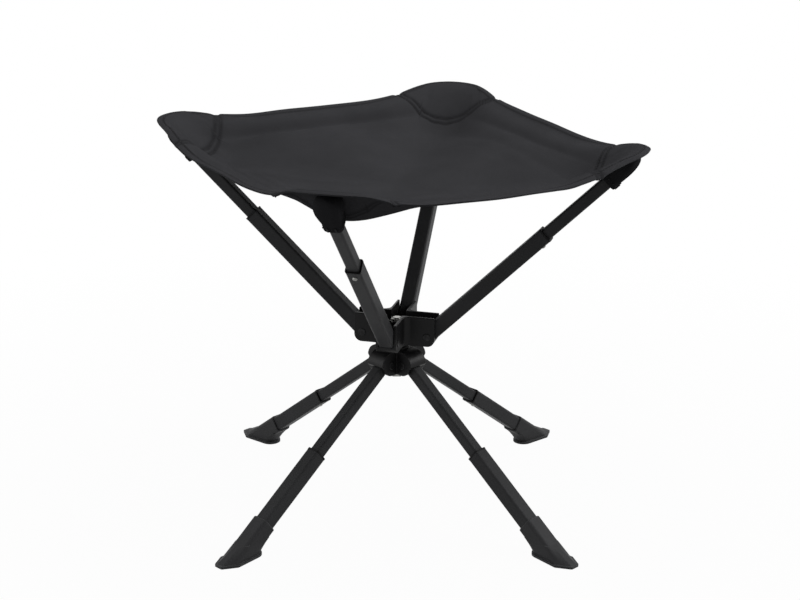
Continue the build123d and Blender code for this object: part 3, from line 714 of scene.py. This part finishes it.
def sewn(name, lines, sizes):
    """One mesh of stitches of given sizes along lines of points."""
    points, edges = [], []
    for line in lines:
        edges += [(len(points) + i, len(points) + i + 1) for i in range(len(line) - 1)]
        points += [tuple(p) for p in line]
    mesh = bpy.data.meshes.new(name + "_line")
    mesh.from_pydata(points, edges, [])
    guide = bpy.data.objects.new(name + "_line", mesh)
    bpy.context.scene.collection.objects.link(guide)
    modifier = guide.modifiers.new("stitches", "NODES")
    modifier.node_group = sewing
    for item in sewing.interface.items_tree:
        if item.name in sizes and item.in_out == "INPUT":
            modifier[item.identifier] = sizes[item.name]
    bpy.context.view_layer.update()
    stitched = guide.evaluated_get(bpy.context.evaluated_depsgraph_get())
    result = bpy.data.meshes.new_from_object(stitched)
    result.name = name
    guide.modifiers.remove(modifier)
    bpy.data.objects.remove(guide)
    piece = bpy.data.objects.new(name, result)
    bpy.context.scene.collection.objects.link(piece)
    return piece


def on_seat(azimuths, reaches):
    """Points on the seat's top, lifted a little."""
    heights = seat_height(azimuths, reaches) + STITCH_LIFT
    return np.stack([reaches * np.cos(azimuths), reaches * np.sin(azimuths), heights], axis=1)


def seat_lines(start, end):
    """Rows of stitching of the hem and the lobes between two azimuths."""
    turns = np.linspace(start, end, 40)
    edge, slant = seat_reach(turns - SEAT_TURN)
    lines = [on_seat(turns, edge - HEM_ROW / slant)]
    corner = round(((start + end) / 2 - SEAT_TURN) / (pi / 2)) * pi / 2
    sides = np.linspace(-LOBE_SEAM_HALF, LOBE_SEAM_HALF, 400)
    for row in (0.0, -LOBE_ROW_GAP):
        out = seam_out(sides) + row
        azimuths = SEAT_TURN + corner + np.arctan2(sides, out)
        reaches = np.hypot(out, sides)
        limit, slope = seat_reach(azimuths - SEAT_TURN)
        inside = (azimuths >= start) & (azimuths < end) & (reaches < limit - HEM_ROW / slope)
        if inside.sum() > 4:
            lines.append(on_seat(azimuths[inside], reaches[inside]))
    return lines


seat_threads = []
for pair in range(GORE_PAIRS):
    lines = []
    for g in (pair, pair + GORE_PAIRS):
        lines += seat_lines(columns[g * GORE_STEPS], columns[(g + 1) * GORE_STEPS])
    seat_threads.append(sewn(f"seat_stitches_{pair + 1}", lines, SEAT_STITCH))

for pair, (piece, threads) in enumerate(zip(gores, seat_threads)):
    azimuth = SEAT_TURN + pair * pi / GORE_PAIRS
    for part in (piece, threads):
        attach(part, "head")
        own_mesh(part)
    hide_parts("seat_panel")


# Corner pockets: a sewn funnel of the same cloth under each lobe, drawn over the arm's capped tip, coloured
# darker than the seat as painted shade under the lobe.
# Its mouth is a turned hem with one row of stitching and two bar tacks; its top follows the lobe.
POCKET_STATIONS = np.array([282.6, 283.0, 284.2, 286.5, 288.6, 289.3, 290.4, 293.5, 298.0, 303.5, 309.5,
                            315.5, 320.5, 324.5, 327.2, 328.6, 329.2]) / 1000
POCKET_HALF_WIDTH = np.array([10.5, 10.9, 11.1, 11.1, 11.0, 10.6, 10.5, 10.9, 11.9, 13.4, 14.8, 15.2,
                              14.2, 11.8, 8.4, 4.6, 1.0]) / 1000
POCKET_BELOW = np.array([10.5, 10.9, 11.0, 11.0, 10.9, 10.4, 10.3, 10.3, 10.3, 10.3, 10.2, 9.8,
                         8.7, 6.9, 4.6, 2.4, 0.5]) / 1000
POCKET_ABOVE = np.array([10.5, 10.9, 11.1, 11.3, 11.5, 11.4, 11.8, 13.2, 15.0, 16.5, 17.0, 16.5,
                         14.5, 11.0, 7.0, 3.5, 0.6]) / 1000
POCKET_SIDES = 56
POCKET_CLOTH = 0.0010
POCKET_UNDER_LOBE = 0.0021
POCKET_MOUTH_SQUARE = 4.2
POCKET_TIP_SQUARE = 2.4
POCKET_GATHER = 0.022
POCKET_MAP_RADIUS = 0.0125
POCKET_HEM_RING = (0.2879, 0.0112, 0.0111, 0.0117, POCKET_MOUTH_SQUARE, 96)
POCKET_STITCH = {"Pitch": 0.0036, "Stitch Length": 0.0029, "Thread": 0.0009}
TACK_STITCH = {"Pitch": 0.0009, "Stitch Length": 0.0018, "Thread": 0.0017}
TACK_STATIONS = np.linspace(0.2845, 0.2905, 8)
TACK_SIDE = 0.0045
TACK_BELOW = 0.0112


def pocket_ring(station, half_width, below, above, square, count):
    """Ring of points round an arm, in its own frame."""
    turns = np.linspace(0, 2 * pi, count, endpoint=False) + pi / 2
    across = np.sign(np.cos(turns)) * np.abs(np.cos(turns)) ** (2 / square)
    up = np.sign(np.sin(turns)) * np.abs(np.sin(turns)) ** (2 / square)
    height = np.where(up > 0, above, below) * up
    return np.stack([np.full(count, station), half_width * across, height], axis=1)


def in_place(place, points):
    """Points of a member's frame in the object's frame."""
    turn = np.array(place.to_3x3())
    return points @ turn.T + np.array(place.translation)


def under_lobe(points, clear):
    """Points pressed down to lie under the seat."""
    low = seat_height(np.arctan2(points[:, 1], points[:, 0]), np.hypot(points[:, 0], points[:, 1])) - clear
    pressed = points.copy()
    pressed[:, 2] = np.minimum(points[:, 2], low)
    return pressed


# Darker copy of the seat cloth: painted shade under the lobe.
pocket_cloth_painted_shade = weave("pocket_cloth_painted_shade", (0.028, 0.028, 0.030), (0.037, 0.037, 0.0397), 0.0008)
for k, azimuth in zip(MEMBERS, ARM_AZIMUTHS):
    place = member_frame(ARM_FRAME, azimuth)
    squares = np.interp(POCKET_STATIONS, (0.284, 0.325), (POCKET_MOUTH_SQUARE, POCKET_TIP_SQUARE))
    rings, maps = [], []
    for station, *sizes in zip(POCKET_STATIONS, POCKET_HALF_WIDTH, POCKET_BELOW, POCKET_ABOVE, squares):
        ring = pocket_ring(station, *sizes, POCKET_SIDES)
        turns = np.linspace(0, 2 * pi, POCKET_SIDES, endpoint=False)
        gather = np.interp(station, (0.289, 0.297, 0.312, 0.322), (0.0, 1.0, 1.0, 0.0))
        ring[:, 1:] *= (1 + POCKET_GATHER * gather * np.sin(7 * turns + 1.4 * k + 180 * station))[:, None]
        rings.append(under_lobe(in_place(place, ring), POCKET_UNDER_LOBE))
        maps.append(np.stack([turns * POCKET_MAP_RADIUS, np.full(POCKET_SIDES, station)], axis=1))
    points = np.concatenate(rings)
    tip = in_place(place, np.array([[POCKET_STATIONS[-1] + 0.0002, 0.0, 0.0]]))
    points = np.concatenate([points, under_lobe(tip, POCKET_UNDER_LOBE)])
    flat = np.concatenate(maps + [np.array([[0.0, POCKET_STATIONS[-1]]])])
    count = len(POCKET_STATIONS)
    faces = []
    for i in range(count - 1):
        for j in range(POCKET_SIDES):
            a, b = i * POCKET_SIDES, (j + 1) % POCKET_SIDES
            faces.append((a + j, a + b, a + POCKET_SIDES + b, a + POCKET_SIDES + j))
    last = (count - 1) * POCKET_SIDES
    faces += [(last + j, last + (j + 1) % POCKET_SIDES, len(points) - 1) for j in range(POCKET_SIDES)]
    shell = cloth_piece(f"corner_pocket_{k}", points, faces, None, flat, pocket_cloth_painted_shade)
    form = bmesh.new()
    form.from_mesh(shell.data)
    bmesh.ops.recalc_face_normals(form, faces=form.faces)
    form.to_mesh(shell.data)
    form.free()
    thick = shell.modifiers.new("cloth", "SOLIDIFY")
    thick.thickness = POCKET_CLOTH
    thick.offset = -1.0
    bpy.context.view_layer.update()
    made = bpy.data.meshes.new_from_object(shell.evaluated_get(bpy.context.evaluated_depsgraph_get()))
    shell.modifiers.remove(thick)
    shell.data = made
    made.name = shell.name

    hem = pocket_ring(*POCKET_HEM_RING)
    hem = under_lobe(in_place(place, np.concatenate([hem, hem[:1]])), POCKET_UNDER_LOBE)
    rim = sewn(f"pocket_hem_stitches_{k}", [hem], POCKET_STITCH)
    tacks = []
    for side in (-TACK_SIDE, TACK_SIDE):
        bar = np.array([(s, side, -TACK_BELOW) for s in TACK_STATIONS])
        tacks.append(in_place(place, bar))
    bars = sewn(f"pocket_bar_tacks_{k}", tacks, TACK_STITCH)
    for part in (shell, rim, bars):
        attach(part, f"arm_{k}_upper")
    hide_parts(f"seat_pocket_{k}")


# Studio: a white floor under white surroundings and large soft lamps, with the camera above the seat.
# One lamp hangs overhead and one stands high to the right, with weaker ones low left and behind.
FLOOR = 30.0
FLOOR_BELOW_SOLES = 0.0004
floor_mesh = bpy.data.meshes.new("floor")
floor_mesh.from_pydata([(-FLOOR, -FLOOR, 0), (FLOOR, -FLOOR, 0), (FLOOR, FLOOR, 0), (-FLOOR, FLOOR, 0)], [],
                       [(0, 1, 2, 3)])
floor = bpy.data.objects.new("floor", floor_mesh)
floor.location.z = -FLOOR_BELOW_SOLES
bpy.context.scene.collection.objects.link(floor)


def seen_white(nodes, links):
    """1 for rays from the camera, from gloss and through glass."""
    path = nodes.new("ShaderNodeLightPath")
    total = path.outputs["Is Camera Ray"]
    for name in ("Is Glossy Ray", "Is Transmission Ray"):
        add = nodes.new("ShaderNodeMath")
        add.operation = "MAXIMUM"
        links.new(total, add.inputs[0])
        links.new(path.outputs[name], add.inputs[1])
        total = add.outputs["Value"]
    return total


floor_white, links, nodes, surface = shader("floor_white")
surface.inputs["Base Color"].default_value = (0.4, 0.4, 0.4, 1.0)
surface.inputs["Roughness"].default_value = 0.9
glow = nodes.new("ShaderNodeEmission")
blend = nodes.new("ShaderNodeMixShader")
distance = nodes.new("ShaderNodeVectorMath")
distance.operation = "LENGTH"
links.new(nodes.new("ShaderNodeTexCoord").outputs["Object"], distance.inputs[0])
share = nodes.new("ShaderNodeMath")
share.operation = "MULTIPLY"
links.new(seen_white(nodes, links), share.inputs[0])
links.new(spread(nodes, links, distance.outputs["Value"], 0.97, 1.0, 0.35, 1.1), share.inputs[1])
links.new(share.outputs["Value"], blend.inputs["Fac"])
links.new(surface.outputs["BSDF"], blend.inputs[1])
links.new(glow.outputs["Emission"], blend.inputs[2])
links.new(blend.outputs["Shader"], nodes["Material Output"].inputs["Surface"])
floor_mesh.materials.append(floor_white)

world = bpy.data.worlds.new("studio")
world.use_nodes = True
bpy.context.scene.world = world
nodes, links = world.node_tree.nodes, world.node_tree.links
background = nodes["Background"]
background.inputs["Color"].default_value = (1.0, 1.0, 1.0, 1.0)
links.new(spread(nodes, links, seen_white(nodes, links), 0.2, 1.0), background.inputs["Strength"])


def soft_lamp(name, place, aim, size, watts):
    """Square area lamp that points at a spot."""
    light = bpy.data.lights.new(name, "AREA")
    light.size = size
    light.energy = watts
    lamp = bpy.data.objects.new(name, light)
    lamp.location = place
    lamp.rotation_euler = (Vector(aim) - Vector(place)).to_track_quat("-Z", "Y").to_euler()
    bpy.context.scene.collection.objects.link(lamp)


soft_lamp("lamp_top", (0.2, 0.1, 2.6), (0.0, 0.0, 0.3), 1.8, 32.0)
soft_lamp("lamp_right", (2.2, 0.0, 1.6), (0.0, 0.0, 0.25), 1.3, 36.0)
soft_lamp("lamp_left", (-2.3, -0.3, 0.9), (0.0, 0.0, 0.25), 1.3, 17.0)
soft_lamp("lamp_back", (-0.4, 2.3, 1.4), (0.0, 0.0, 0.25), 1.4, 5.0)

camera_data = bpy.data.cameras.new("camera")
camera_data.lens = 78.91
camera_data.sensor_width = 36.0
camera_data.shift_x = 0.00409
camera_data.shift_y = 0.01696
camera_data.clip_end = 100.0
camera = bpy.data.objects.new("camera", camera_data)
camera.location = (0.0, -1.9415, 0.8886)
camera.rotation_euler = (radians(90.0 - 18.74), 0.0, 0.0)
bpy.context.scene.collection.objects.link(camera)
bpy.context.scene.camera = camera
bpy.context.scene.view_settings.view_transform = "Standard"
